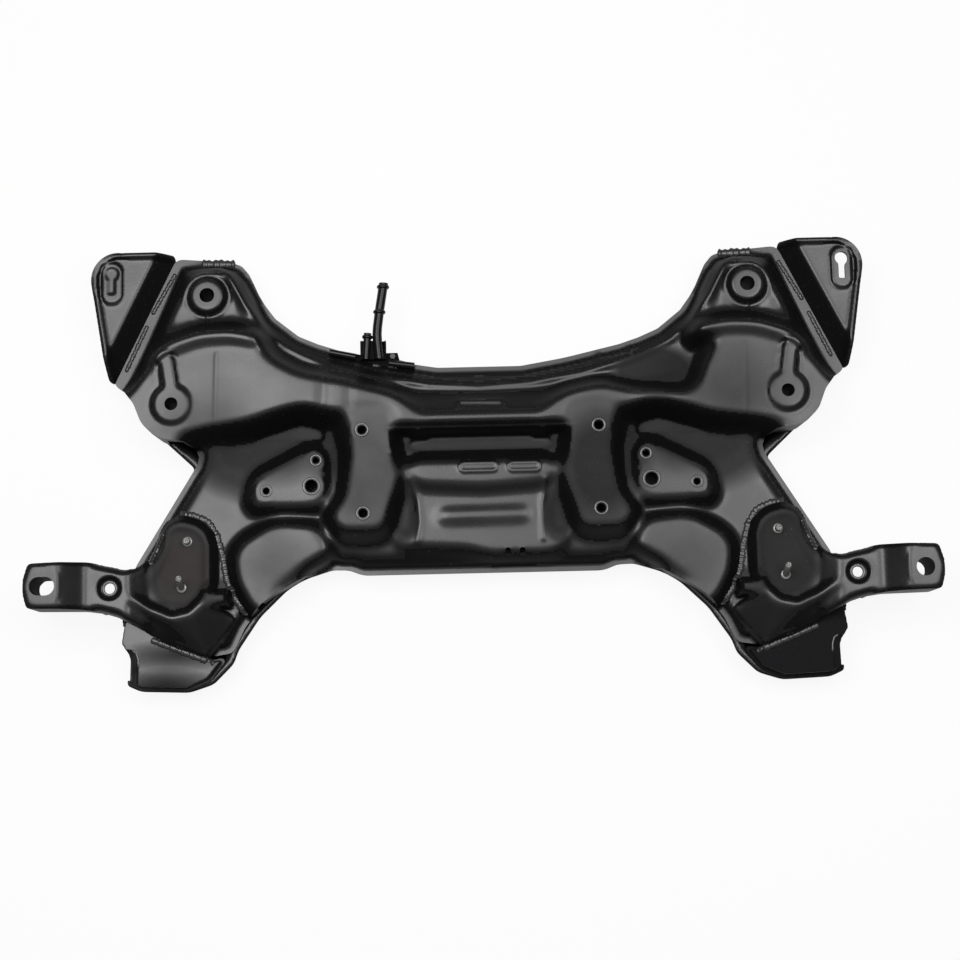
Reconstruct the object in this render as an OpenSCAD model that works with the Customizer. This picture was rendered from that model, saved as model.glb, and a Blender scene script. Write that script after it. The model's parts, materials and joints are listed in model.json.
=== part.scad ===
// Front subframe of a small car, welded from pressed sheets.
// +X is the right-hand side, +Y the rear, +Z up. Millimetres.
// The underside of the lower panel lies on z = 0, with the origin under the middle of the part.

/* [Sheets] */
// Thickness of every pressed sheet
sheet_t = 2.5; // [2:0.1:3]
// Depth of the lower panel's tray below the seam flange
tray_depth = 30; // [26:1:36]
// Width of the flat seam flange
flange_w = 8; // [6:0.5:9]
// Thickness of the rim on the corner brackets, above their floor
rim_rise = 4; // [2:0.5:6]

/* [Upper panel levels above the seam] */
// Ledge, low flats and pocket floors
base_rise = 10; // [8:0.5:12]
// Top of the rear mount lobes
lobe_rise = 30; // [26:1:34]
// Ring pad round each rear mount hole, above its lobe
ring_rise = 3; // [2:0.5:4]
// Curved ridge in front of each lobe
ridge_rise = 47; // [44:1:50]
// Control-arm plateaus
plateau_rise = 40; // [37:1:43]
// Keyhole pad round each control-arm hole, above its plateau
keyhole_rise = 4; // [2:0.5:5]
// Steering rack pads
rack_rise = 38; // [34:1:39]
// Central deck behind the step
deck_rise = 30; // [26:1:33]
// Central deck in front of the step
front_deck_rise = 22; // [18:1:24]
// Triangular stabiliser pads
stabiliser_rise = 26; // [22:1:30]
// Front arms
arm_rise = 28; // [24:1:32]
// Raised bead on the front deck
bead_rise = 4; // [2:0.5:6]

/* [Bolt places] */
// Rear body mount, distance from the middle
rear_mount_x = 284; // [280:1:288]
// Rear body mount, distance behind the origin
rear_mount_y = 181; // [178:1:184]
// Bore radius of the rear body mount
rear_mount_r = 8; // [6:0.5:9]
// Rear control-arm bolt, distance from the middle
arm_bolt_x = 320; // [317:1:323]
// Rear control-arm bolt, distance behind the origin
arm_bolt_y = 64; // [62:1:66]
// Bore radius of the control-arm bolt
arm_bolt_r = 7; // [5:0.5:8]
// Steering rack bolts, distance from the middle
rack_x = 123; // [120:1:126]
// Rear pair of rack bolts, distance behind the origin
rack_rear_y = 33; // [30:1:36]
// Front pair of rack bolts, distance in front of the origin
rack_front_y = 54; // [51:1:57]
// Bore radius of the rack bolts
rack_r = 5; // [4:0.25:6]
// Stabiliser pad, distance of its large hole from the middle
stabiliser_x = 177; // [175:1:179]
// Stabiliser pad, distance of its large hole in front of the origin
stabiliser_y = 23; // [21:1:25]
// Radius of the large hole in a stabiliser pad
stabiliser_r = 7; // [5:0.5:8]
// Radius of the small bolt holes in a stabiliser pad
stabiliser_bolt_r = 4; // [3:0.25:5]

/* [Outriggers] */
// Front body bolt, distance from the middle
end_x = 449; // [447:1:451]
// Front body bolt, distance in front of the origin
end_y = 124; // [122:1:126]
// Bore radius of the front body bolt
end_r = 9.5; // [8:0.25:10.5]
// Straight length of the slotted hole on the left
end_slot = 7; // [4:0.5:9]
// Height of the end pads above the ground
end_height = 95; // [88:1:100]
// Height of the middle pads above the ground
mid_height = 77; // [74:1:82]
// Height of the stud plates above the ledge
stud_plate_rise = 13; // [11:0.5:15]
// Height of the curved rib above the ledge
rib_rise = 25; // [22:1:28]
// Middle pad hole, distance from the middle
mid_x = 384; // [382:1:386]
// Middle pad hole, distance in front of the origin
mid_y = 126; // [124:1:128]
// Radius of the middle pad hole
mid_r = 5.5; // [4:0.5:6.5]
// Radius of the dish round the middle pad hole
dish_r = 13; // [11:0.5:15]
// Depth of the dish round the middle pad hole
dish_depth = 5; // [3:0.5:7]
// Thread radius of the studs
stud_r = 3.5; // [3:0.25:4.5]
// Length of the long studs
stud_long = 24; // [18:1:30]
// Length of the short studs
stud_short = 10; // [8:1:14]
// Lean of the long studs to the rear
stud_lean = 20; // [10:1:25]

/* [Sleeves and nuts] */
// Wall of the crush sleeves
sleeve_wall = 5; // [3:0.5:6]
// Room round the front sleeves inside the outriggers
sleeve_gap = 1.5; // [1:0.25:2.5]
// Height of the weld nuts
nut_h = 9; // [7:0.5:11]
// Wall of the weld nuts round their thread
nut_wall = 4; // [3:0.5:5]

/* [Pipes] */
// Radius of the long pipe
pipe_r = 5; // [4:0.25:5.5]
// Wall of the pipes
pipe_wall = 1.2; // [0.8:0.1:1.8]
// Length of the long pipe
pipe_long = 82; // [70:1:100]
// Length of the short pipe
pipe_short = 28; // [24:1:40]
// Radius of the short pipe
pipe_small_r = 4; // [3:0.25:4.5]

/* [Hidden] */

coat = [0.13, 0.13, 0.14];
steel = [0.45, 0.45, 0.46];
t = sheet_t;
// Plan shift of a sloped wall's inner skin, for walls near 60 degrees
skew = 0.6 * t;
low_seam = tray_depth + t;
seam = low_seam + t;
base_z = seam + base_rise;
lobe_z = seam + lobe_rise;
ridge_z = seam + ridge_rise;
plateau_z = seam + plateau_rise;
rack_z = seam + rack_rise;
deck_z = seam + deck_rise;
front_deck_z = seam + front_deck_rise;
stabiliser_z = seam + stabiliser_rise;
arm_z = seam + arm_rise;
stud_z = base_z + stud_plate_rise;
rib_z = base_z + rib_rise;
base_run = 5;
// Radius of the drain holes in the lower panel
drain_r = 9;
// Plan width of the tray's sloped wall
tray_run = 8;
// Depth of a raised pad's root below the sheet that it rises from, and rise of the two bare ovals on the deck
pad_root = t + 1.5;
plate_rise = 1.2;
// Depth of the dish in each rear lobe
dish_fall = 4;
// Fall of the pocket floors to the rear, per millimetre
pocket_fall = 0.25;

// Outlines are lists of corners [x, y, radius] on the right-hand side, counter-clockwise.
// Rear edge shared by both panels, from the side strip to the middle
rear_edge = [
  [387, 93, 3], [321, 229, 8], [249, 223, 24], [230, 181, 60],
  [206, 148, 60], [160, 128, 120], [90, 112, 150]
];
rear_middle = [[0, 97, 300]];
// Front edge shared by both panels, from the middle to the front arm
front_edge = [[126, -115, 15], [149, -106, 25], [188, -118, 40]];
// Front arm, waist and outer end of the plateau on the upper panel
upper_side = [
  [224, -139, 50], [247, -161, 40], [262, -193, 6], [284, -196, 4], [292, -184, 4], [334, -168, 6],
  [352, -142, 8], [366, -104, 10], [288, 24, 14], [331, 28, 14], [351, 43, 14], [360, 66, 10], [374, 84, 3]
];
upper_edge = concat(front_edge, upper_side, rear_edge);
// The foot of the upper panel's walls runs further in along the side strip
wall_edge = concat(front_edge, upper_side, [[378, 89, 3], [319, 226, 8]], [for (i = [2:6]) rear_edge[i]]);
lower_edge = concat(
  front_edge,
  [[206, -129, 30], [234, -156, 30], [257, -190, 20], [262, -204, 8], [283, -225, 8], [308, -233, 12]],
  [[358, -231, 5], [374, -224, 4], [373, -196, 8], [382, -182, 6], [378, -156, 4], [366, -104, 10]],
  [[301, 1, 5], [333, 31, 6], [351, 43, 14], [360, 66, 10], [374, 84, 3]],
  rear_edge
);
lobe_edge = [
  for (c = [[-63, -50, 4], [-44, -61, 4], [57, -60, 3], [18, 27, 20], [-26, 28, 20]])
    [rear_mount_x + c[0], rear_mount_y + c[1], c[2]]
];
// Floor of the dish between a lobe's rim and its ring pad
lobe_dish_edge = [
  for (c = [[-40, -34, 6], [40, -36, 6], [12, 19, 14], [-18, 19, 14]])
    [rear_mount_x + c[0], rear_mount_y + c[1], c[2]]
];
ridge_edge = [
  [226, 126, 4], [258, 132, 40], [290, 131, 40], [322, 120, 40], [338, 108, 4],
  [345, 114, 4], [326, 129, 40], [292, 140, 40], [258, 142, 40], [231, 135, 4]
];
plateau_front = [
  [58, 33, 8], [86, 43, 8], [98, 61, 8], [130, 61, 8], [150, 49, 8], [184, 58, 25],
  [211, 51, 25], [240, 42, 30], [285, 36, 40], [340, 22, 6], [368, 44, 6], [374, 70, 6], [350, 102, 12],
  [324, 125, 30], [291, 135, 40]
];
left_plateau_edge = concat(
  plateau_front,
  [[250, 136, 20], [228, 128, 6], [212, 111, 15], [186, 97, 40], [139, 88, 40], [84, 72, 30], [56, 48, 20]]
);
right_plateau_edge = concat(
  plateau_front,
  [[258, 137, 20], [248, 122, 8], [236, 98, 30], [227, 73, 14], [212, 68, 14]],
  [[167, 71, 40], [126, 79, 30], [84, 70, 30], [56, 48, 20]]
);
rack_edge = [
  for (c = [[-26, -66, 8], [-13, -74, 10], [23, -73, 14], [38, -57, 12], [20, -37, 14], [13, 10, 30],
            [20, 52, 8], [5, 66, 8], [-26, 66, 8], [-30, 15, 10], [-38, -14, 8]])
    [rack_x + c[0], c[1], c[2]]
];
deck_edge = [
  [-62, -25, 6], [0, -29, 90], [62, -25, 6], [84, -13, 6], [72, 3, 8], [-72, 3, 8], [-84, -13, 6]
];
front_deck_edge = [
  [-84, -89, 12], [-40, -91, 12], [-14, -93, 14], [10, -100, 14], [78, -99, 14], [96, -62, 12],
  [86, -20, 6], [60, -24, 4], [-60, -24, 4], [-86, -20, 6], [-96, -62, 12]
];
// Floors of the deep pockets beside the stabiliser pads, and of the channel that clears the steering rack
deep_edge = [
  [167, 27, 5], [183, 26, 6], [234, 0, 6], [268, 6, 8], [266, 23, 6],
  [240, 29, 20], [211, 38, 20], [190, 45, 10], [166, 38, 6]
];
channel_edge = [[-70, 14, 5], [70, 14, 5], [77, 20, 5], [60, 28, 8], [-60, 28, 8], [-77, 20, 5]];
scoop_edge = [[74, -76, 6], [93, -68, 6], [82, -36, 4], [74, -40, 4]];
stabiliser_edge = [
  for (c = [[-9, -24, 8], [66, -23, 8], [63, 11, 14], [1, 42, 10], [-14, 34, 10], [-18, -9, 14]])
    [stabiliser_x + c[0], -stabiliser_y + c[1], c[2]]
];
// Small bolt holes of a stabiliser pad, from its large hole
stabiliser_bolts = [[47, -4], [-5, 27]];
arm_edge = [
  [152, -92, 10], [184, -109, 30], [212, -128, 30], [236, -151, 3], [242, -151, 3],
  [257, -122, 10], [261, -94, 12], [250, -78, 14], [216, -58, 25], [172, -62, 8]
];
front_rim_edge = [[72, -90, 6], [96, -98, 12], [148, -97, 12], [172, -88, 8], [172, -70, 4], [76, -70, 4]];
outrigger_edge = [
  [end_x + 17, -end_y - 24, 5], [end_x + 23, -end_y, 30], [end_x + 16, -end_y + 25, 5], [405, -97, 30],
  [358, -108, 20], [343, -84, 16], [335, -64, 6], [316, -48, 8], [290, -58, 16], [274, -74, 14],
  [270, -96, 20], [265, -122, 14], [250, -150, 8], [268, -180, 14], [286, -199, 6], [294, -198, 4],
  [346, -173, 40], [384, -153, 40], [412, -149, 40]
];
// Low rim round the boot-shaped stud plate, and the plate's floor
stud_deck_edge = [
  [345, -108, 8], [330, -86, 14], [328, -64, 6], [314, -56, 10], [292, -64, 12], [284, -80, 14],
  [283, -120, 20], [290, -138, 10], [322, -150, 14], [350, -140, 10]
];
stud_floor_edge = [
  [289, -126, 12], [300, -139, 12], [316, -144, 14], [334, -138, 12], [341, -120, 12],
  [332, -103, 14], [325, -86, 20], [323, -65, 6], [296, -67, 10], [289, -80, 12]
];
// Crest [x, y, height] of the arm as it wraps round the stud plate, and foot of the slope in front
wrap_crest = [
  [366, -134, mid_height], [346, -146, rib_z + 2], [322, -156, rib_z],
  [303, -152, rib_z], [290, -140, rib_z - 2]
];
wrap_foot = [[378, -150], [350, -169], [318, -185], [290, -193], [261, -160]];
pocket_edge = [
  [265, -196, 4], [285, -222, 13], [309, -232, 10], [358, -230, 5], [373, -223, 4],
  [372, -196, 8], [381, -182, 6], [377, -157, 4], [355, -144, 4], [337, -171, 6], [293, -187, 4],
  [285, -199, 3]
];
bracket_edge = [[385, 96, 2], [392, 95, 4], [414, 233, 30], [322, 233, 3], [324, 227, 3]];
// Ends of the panel's side strip, where a corner bracket is welded on
strip_a = [387, 93];
strip_b = [321, 229];

function unit(v) = v / norm(v);
function xy(p) = [p[0], p[1]];
function flipped(o) = [for (i = [len(o) - 1:-1:0]) [-o[i][0], o[i][1], o[i][2]]];
function both(half, middle) = concat(half, middle, flipped(half));
// A corner radius, limited by the edges that it joins
function fit(r, a, b, turn) = min(r, 0.49 * min(a, b) / max(0.001, tan(abs(turn) / 2)));
// The outline moved out by e, with a step for each 45 degrees of a corner, or 60 on a small one
function grown(o, e) = [
  for (i = [0:len(o) - 1])
    let (
      q = xy(o[i]),
      p = xy(o[(i + len(o) - 1) % len(o)]),
      s = xy(o[(i + 1) % len(o)]),
      d1 = unit(q - p),
      d2 = unit(s - q),
      turn = atan2(d1[0] * d2[1] - d1[1] * d2[0], d1 * d2),
      way = turn < 0 ? -1 : 1,
      r = max(0.3, fit(o[i][2], norm(q - p), norm(s - q), turn) + way * e),
      half = cos(turn / 2),
      out = unit([d1[1] + d2[1], -d1[0] - d2[0]]),
      centre = q + out * (e - way * r) / half,
      start = atan2(-d1[0], d1[1]),
      n = ceil(max(1, abs(turn)) / (o[i][2] < 10 ? 60 : 45))
    )
    for (k = [0:n])
      centre + way * r * [cos(start + turn * k / n), sin(start + turn * k / n)]
];

// A solid through rings [growth, height] of one outline, from the bottom up
module loft(o, rings) {
  m = len(grown(o, 0));
  points = [for (g = rings) for (p = grown(o, g[0])) [p[0], p[1], g[1]]];
  sides = [
    for (j = [0:len(rings) - 2])
      for (i = [0:m - 1])
        [j * m + i, (j + 1) * m + i, (j + 1) * m + (i + 1) % m, j * m + (i + 1) % m]
  ];
  floor_face = [for (i = [0:m - 1]) i];
  roof_face = [for (i = [m - 1:-1:0]) (len(rings) - 1) * m + i];
  polyhedron(points, concat([floor_face, roof_face], sides), convexity = 8);
}

// A straight plate of one outline
module plate(o, e, z0, z1) {
  translate([0, 0, z0])
    linear_extrude(z1 - z0)
      polygon(grown(o, e));
}

// A raised form with sloped walls, drawn at its top edge. s is 0 on the outer skin and 1 on the inner
module raised(o, top, run, s, foot = base_z) {
  loft(o, [
    [run - s * skew, s == 0 ? seam - 1 : foot - t - 3],
    [run - s * skew, foot - s * t],
    [-s * skew, top - s * t]
  ]);
}

// A sunk form with sloped walls, drawn at its floor
module sunk(o, floor, rim, run, s) {
  loft(o, [[s * skew, floor - s * t], [run + s * skew, rim - s * t], [run + s * skew, rim + 40]]);
}

module both_sides() {
  children();
  mirror([1, 0, 0])
    children();
}

module left() {
  mirror([1, 0, 0])
    children();
}

// A raised round pad whose sloped wall starts inside the panel at z0
module round_pad(x, y, r, z0, z1, run, s, sides = 16) {
  high = z1 - z0 - s * t;
  translate([x, y, z0])
    cylinder(r1 = r + run * high / (z1 - z0) - s * skew, r2 = r - s * skew, h = high, $fn = sides);
}

// A raised round-ended strip between two points
module strip(a, b, r, z0, z1, run, s) {
  hull() {
    for (p = [a, b])
      round_pad(p[0], p[1], r, z0, z1, run, s, 16);
  }
}

// Cross-ridge in the middle behind the channel, with its long slope to the rear
module rear_bridge(s) {
  half = 92;
  translate([-half, 0, 0])
    rotate([90, 0, 90])
      linear_extrude(2 * half)
        polygon([
          [32 + s * t, base_z - 4 - s * t], [32 + s * t, base_z - s * t],
          [33 + s * t, plateau_z - s * t], [49 - s * skew, plateau_z - s * t],
          [79 - s * skew, base_z - s * t], [79 - s * skew, base_z - 4 - s * t]
        ]);
}

// A sunk form whose floor falls to the rear from its front edge at y0
module tilted_sunk(o, y0, floor, run, s) {
  multmatrix([[1, 0, 0, 0], [0, 1, 0, 0], [0, -pocket_fall, 1, pocket_fall * y0], [0, 0, 0, 1]])
    loft(o, [[s * skew, floor - s * t], [run + s * skew, base_z - s * t], [run + s * skew, base_z + 40]]);
}

// The ledge, low flats and sunk floors of the upper panel
module base_form(s) {
  difference() {
    loft(both(wall_edge, rear_middle), [
      [-flange_w - s * skew, low_seam + 0.5 - s * 10],
      [-flange_w - s * skew, seam - s * t],
      [-flange_w - base_run - s * skew, base_z - s * t]
    ]);
    both_sides()
      tilted_sunk(deep_edge, 0, base_z - 2, 3, s);
    tilted_sunk(channel_edge, 13, base_z - 2, 3, s);
  }
}

// Everything under one skin of the upper panel
module upper_form(s) {
  difference() {
    union() {
      base_form(s);
      both_sides() {
        difference() {
          raised(lobe_edge, lobe_z, 7, s);
          sunk(lobe_dish_edge, lobe_z - dish_fall, lobe_z, 6, s);
        }
        raised(ridge_edge, ridge_z, 9, s, lobe_z);
        raised(rack_edge, rack_z, 12, s);
        raised(stabiliser_edge, stabiliser_z, 5, s);
        raised(arm_edge, arm_z, 5, s);
        raised(front_rim_edge, base_z + 4, 3, s);
        round_pad(rear_mount_x, rear_mount_y, 17.5, lobe_z - dish_fall - pad_root, lobe_z + ring_rise, 6, s);
        round_pad(arm_bolt_x, arm_bolt_y, 19, plateau_z - pad_root, plateau_z + keyhole_rise, 5, s);
        strip([arm_bolt_x, arm_bolt_y + 12], [arm_bolt_x + 5, arm_bolt_y + 46], 7,
          plateau_z - 14, plateau_z + keyhole_rise, 8, s);
      }
      raised(right_plateau_edge, plateau_z, 9, s);
      left()
        raised(left_plateau_edge, plateau_z, 9, s);
      rear_bridge(s);
      raised(deck_edge, deck_z, 8, s);
      raised(front_deck_edge, front_deck_z, 6, s);
      strip([-40, -57], [43, -56], 5, front_deck_z - pad_root, front_deck_z + bead_rise, 5, s);
      strip([-19, -3], [10, -3], 4, deck_z - pad_root, deck_z + plate_rise, 2.5, s);
      strip([30, -3], [58, -3], 4, deck_z - pad_root, deck_z + plate_rise, 2.5, s);
    }
    both_sides()
      sunk(scoop_edge, front_deck_z - 8, front_deck_z, 4, s);
  }
}

// Holes through the upper panel
module upper_holes() {
  both_sides() {
    translate([rear_mount_x, rear_mount_y, 0])
      cylinder(r = rear_mount_r, h = 200, $fn = 20);
    translate([arm_bolt_x, arm_bolt_y, 0])
      cylinder(r = arm_bolt_r, h = 200, $fn = 20);
    for (y = [rack_rear_y, -rack_front_y])
      translate([rack_x, y, 0])
        cylinder(r = rack_r, h = 200, $fn = 16);
    translate([stabiliser_x, -stabiliser_y, 0]) {
      cylinder(r = stabiliser_r, h = 200, $fn = 20);
      for (p = stabiliser_bolts)
        translate([p[0], p[1], 0])
          cylinder(r = stabiliser_bolt_r, h = 200, $fn = 16);
    }
  }
  for (x = [26, 41])
    translate([x, -94, 0])
      cylinder(r = 3.3, h = 200, $fn = 14);
}

module upper_panel() {
  outline = both(upper_edge, rear_middle);
  color(coat)
    difference() {
      union() {
        plate(outline, 0, low_seam, seam);
        intersection() {
          upper_form(0);
          plate(outline, 0, 0, 2 * plateau_z);
        }
      }
      intersection() {
        upper_form(1);
        plate(outline, -t, 0, 2 * plateau_z);
      }
      upper_holes();
    }
}

// The hollow of the lower panel's tray. s is 0 on the outer skin and 1 on the inner
module tray_form(s) {
  difference() {
    loft(both(lower_edge, rear_middle), [
      [-flange_w - tray_run - s * skew, s * t],
      [-flange_w - s * skew, tray_depth + s * t],
      [-flange_w - s * skew, low_seam + s]
    ]);
    both_sides()
      for (b = [[[80, -70], [80, 50]], [[150, -60], [150, 60]], [[230, -60], [250, 40]]])
        hull()
          for (p = b)
            translate([p[0], p[1], -1])
              cylinder(r1 = 10 + s * skew, r2 = 5 + s * skew, h = 6 + s * t, $fn = 12);
  }
}

module lower_panel() {
  color(coat)
    difference() {
      union() {
        plate(both(lower_edge, rear_middle), 0, tray_depth, low_seam);
        tray_form(0);
      }
      tray_form(1);
      both_sides() {
        translate([rear_mount_x, rear_mount_y, -1])
          cylinder(r = rear_mount_r, h = tray_depth, $fn = 20);
        translate([arm_bolt_x, arm_bolt_y, -1])
          cylinder(r = arm_bolt_r, h = tray_depth, $fn = 20);
        translate([342, -220, t])
          cube([60, 58, 60]);
        for (p = [[190, 0], [115, -30]])
          translate([p[0], p[1], -1])
            cylinder(r = drain_r, h = tray_depth, $fn = 20);
      }
    }
}

// Side profile of an outrigger's arm, from its middle pad to its end pad
module arm_profile(s) {
  far = end_x + 100;
  end_start = end_x - end_r - sleeve_wall - sleeve_gap;
  mid_stop = (mid_x + end_start) / 2;
  rotate([90, 0, 0])
    linear_extrude(2 * end_x, center = true)
      polygon([
        [346 + s * t, base_z - 1 - s * 5], [far, base_z - 1 - s * 5], [far, end_height - s * t],
        [end_start - s * skew, end_height - s * t], [mid_stop - s * skew, mid_height - s * t],
        [mid_x - 18 + s * skew, mid_height - s * t], [346 + s * t, rib_z - 6 - s * t]
      ]);
}

module outrigger_form(s) {
  difference() {
    union() {
      difference() {
        union() {
          raised(stud_deck_edge, stud_z + 4, 8, s, base_z + t);
          front_wrap(s);
        }
        sunk(stud_floor_edge, stud_z, rib_z, 6, s);
      }
      intersection() {
        plate(outrigger_edge, -1.5 - s * t, base_z - s * 5, 140);
        arm_profile(s);
      }
    }
    translate([mid_x, -mid_y, mid_height - dish_depth - s * t])
      cylinder(r1 = dish_r - 4 + s * skew, r2 = dish_r + s * skew, h = dish_depth + 0.01 + s * t, $fn = 16);
  }
}

// The arm's top wrapped round the front of the stud plate, with its long slope to the front edge
module front_wrap(s) {
  for (i = [0:3])
    hull()
      for (k = [i, i + 1]) {
        translate([wrap_crest[k][0], wrap_crest[k][1], base_z - s * t])
          cylinder(r = 4 - s * skew, h = wrap_crest[k][2] - base_z, $fn = 8);
        translate([wrap_foot[k][0], wrap_foot[k][1], base_z - s * t])
          cylinder(r = 2.5 - s * skew, h = t + 1, $fn = 8);
      }
}

// slotted is 0 for a round end hole and 1 for a slotted one
module outrigger_upper(slotted) {
  color(coat)
    difference() {
      union() {
        intersection() {
          plate(outrigger_edge, 0, base_z, base_z + t);
          translate([200, -300, 0])
            cube([200, 300, 200]);
        }
        difference() {
          outrigger_form(0);
          translate([200, -300, -1])
            cube([300, 300, base_z + 1]);
        }
        translate([262, -146, rib_z - 3.5])
          cube([28, 17, t]);
      }
      outrigger_form(1);
      end_hole(slotted, end_r);
      translate([end_x, -end_y, base_z])
        cylinder(r = end_r + sleeve_wall + sleeve_gap, h = end_height - t - base_z, $fn = 24);
      translate([mid_x, -mid_y, 0])
        cylinder(r = mid_r, h = 200, $fn = 20);
    }
}

// Hole for the front body bolt
module end_hole(slotted, r) {
  for (d = [-1, 1])
    translate([end_x + d * slotted * end_slot / 2, -end_y, 0])
      cylinder(r = r, h = 200, $fn = 40);
  translate([end_x - slotted * end_slot / 2, -end_y - r, 0])
    cube([slotted * end_slot + 0.001, 2 * r, 200]);
}

module outrigger_lower(slotted) {
  color(coat)
    difference() {
      intersection() {
        plate(outrigger_edge, -1.5 - t, base_z, base_z + 16);
        translate([368, -300, 0])
          cube([200, 300, 200]);
      }
      translate([0, 0, t])
        plate(outrigger_edge, -1.5 - 2 * t, base_z, base_z + 30);
      end_hole(slotted, end_r);
      translate([mid_x, -mid_y, 0])
        cylinder(r = 2 * mid_r, h = 200);
    }
}

// A section drawn square to the panel's side strip, run along the strip
module bracket_run(section) {
  along = unit(strip_b - strip_a);
  translate([strip_a[0], strip_a[1], 0])
    rotate([0, 0, atan2(along[1], along[0]) - 90])
      translate([0, end_x, 0])
        rotate([90, 0, 0])
          linear_extrude(2 * end_x)
            polygon(section);
}

// A corner bracket's sheet across its length: welded flange, slope and floor, thicker upwards by rise
module bracket_sheet(floor_z, rise) {
  bracket_run([
    [-7, tray_depth - t], [2, tray_depth - t], [19, floor_z - t], [160, floor_z - t],
    [160, floor_z + rise], [18, floor_z + rise], [1, tray_depth + rise], [-7, tray_depth + rise]
  ]);
}

// The room above that sheet, inside the rim
module bracket_room(floor_z) {
  bracket_run([[-20, tray_depth], [1, tray_depth], [18, floor_z], [180, floor_z], [180, 120], [-20, 120]]);
}

module corner_bracket(open_keyhole) {
  floor_z = tray_depth + 20;
  color(coat)
    difference() {
      union() {
        difference() {
          intersection() {
            bracket_sheet(floor_z, rim_rise);
            plate(concat([[377, 93, 3]], bracket_edge, [[312, 225, 3]]), 0, 0, 100);
          }
          intersection() {
            bracket_room(floor_z);
            linear_extrude(110)
              polygon([
                [280, 60], [380, 60], [401, 190], [402, 208], [397, 219],
                [384, 227], [326, 227], [321, 234], [280, 240]
              ]);
          }
        }
        for (y = [188, 212])
          translate([387, y, floor_z - 1])
            cylinder(r = 11, h = 3.5);
        translate([376, 188, floor_z - 1])
          cube([22, 24, 3.5]);
      }
      translate([387, 210, open_keyhole ? 0 : floor_z + 1])
        cylinder(r = 7, h = 100);
      translate([383.5, 188, open_keyhole ? 0 : floor_z + 1])
        cube([7, 22, 100]);
    }
}

// Cap over the front control-arm bush, open on its outer side
module arm_pocket() {
  color(coat)
    difference() {
      union() {
        plate(pocket_edge, 0, low_seam, seam);
        plate(pocket_edge, -flange_w / 2, low_seam, base_z);
      }
      plate(pocket_edge, -flange_w / 2 - t, low_seam - 1, base_z - t);
      translate([345, -219, low_seam - 1])
        cube([60, 56, base_z - t - low_seam + 1]);
      translate([391, -208, 0])
        cylinder(r = 21, h = 100);
    }
}

// A crush sleeve between two sheets
module sleeve(x, y, r, z0, z1) {
  color(steel)
    translate([x, y, z0])
      difference() {
        cylinder(r = r + sleeve_wall, h = z1 - z0);
        translate([0, 0, -1])
          cylinder(r = r, h = z1 - z0 + 2);
      }
}

module rear_collar() {
  sleeve(rear_mount_x, rear_mount_y, rear_mount_r, t, lobe_z + ring_rise - t);
}

module arm_sleeve() {
  sleeve(arm_bolt_x, arm_bolt_y, arm_bolt_r, t, plateau_z + keyhole_rise - t);
}

module end_sleeve(slotted) {
  color(steel)
    difference() {
      translate([end_x, -end_y, base_z + t])
        cylinder(r = end_r + sleeve_wall, h = end_height - base_z - 2 * t);
      end_hole(slotted, end_r);
    }
}

// A round weld nut hung under a sheet whose underside is at z
module weld_nut(r, z) {
  translate([0, 0, z - nut_h])
    difference() {
      cylinder(r = r + nut_wall, h = nut_h);
      translate([0, 0, -1])
        cylinder(r = r, h = nut_h + 2);
    }
}

module rack_nuts() {
  color(steel)
    both_sides()
      for (y = [rack_rear_y, -rack_front_y])
        translate([rack_x, y, 0])
          weld_nut(rack_r, rack_z - t);
}

module stabiliser_nuts() {
  color(steel)
    both_sides()
      for (p = stabiliser_bolts)
        translate([stabiliser_x + p[0], -stabiliser_y + p[1], 0])
          weld_nut(stabiliser_bolt_r, stabiliser_z - t);
}

// Threaded weld studs of one outrigger
module studs() {
  color(steel) {
    translate([312, -126, stud_z]) {
      cylinder(r = stud_r + 2, h = 3);
      translate([0, 0, 1.5])
        rotate([-stud_lean, 0, 0])
          cylinder(r = stud_r, h = stud_long);
    }
    translate([306, -78, stud_z]) {
      cylinder(r = stud_r + 2, h = 2);
      cylinder(r = stud_r, h = stud_short);
    }
  }
}

// Foot of the pipes, from the middle of the part
pipe_x = -105;
// Distance between neighbours in the row of pipes and nut
pipe_gap = 14;
pipe_small_x = pipe_x - pipe_gap;
pipe_y = 113;
pipe_z = seam + t + 8;
// The pipes point this many degrees towards the middle
pipe_turn = 4;

// A pipe to the rear with a rolled bead near its tip
module pipe(x, r, length, beads) {
  translate([x, pipe_y, pipe_z])
    rotate([-90, 0, -pipe_turn])
      difference() {
        union() {
          cylinder(r = r, h = length);
          for (b = beads)
            translate([0, 0, b])
              rotate_extrude()
                translate([r - 0.5, 0])
                  circle(r = 2.2, $fn = 24);
        }
        translate([0, 0, -1])
          cylinder(r = r - pipe_wall, h = length + 2);
      }
}

module long_pipe() {
  color(coat)
    pipe(pipe_x, pipe_r, pipe_long, [pipe_long * 0.62, pipe_long - 4]);
}

module short_pipe() {
  color(coat)
    pipe(pipe_small_x, pipe_small_r, pipe_short, [pipe_short - 4]);
}

// Strip on the rear flange with a saddle for both pipes
module pipe_bracket() {
  color(coat)
    difference() {
      union() {
        translate([0, 0, seam])
          linear_extrude(t)
            polygon([
              [-158, 120], [-122, 112], [-96, 106], [-68, 102], [-68, 109],
              [-84, 113], [-86, 121], [-96, 121], [-122, 119], [-158, 127]
            ]);
        translate([pipe_small_x - pipe_small_r - 2, pipe_y, seam])
          cube([pipe_x - pipe_small_x + pipe_small_r + pipe_r + 4, 20, t + 8]);
      }
      for (p = [[pipe_x, pipe_r], [pipe_small_x, pipe_small_r]])
        translate([p[0], pipe_y, pipe_z])
          rotate([-90, 0, -pipe_turn])
            translate([0, 0, -30])
              cylinder(r = p[1], h = 300);
    }
}

// Radius and length of the tubes on the flange
tube_r = 3.5;
tube_length = 27;

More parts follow.
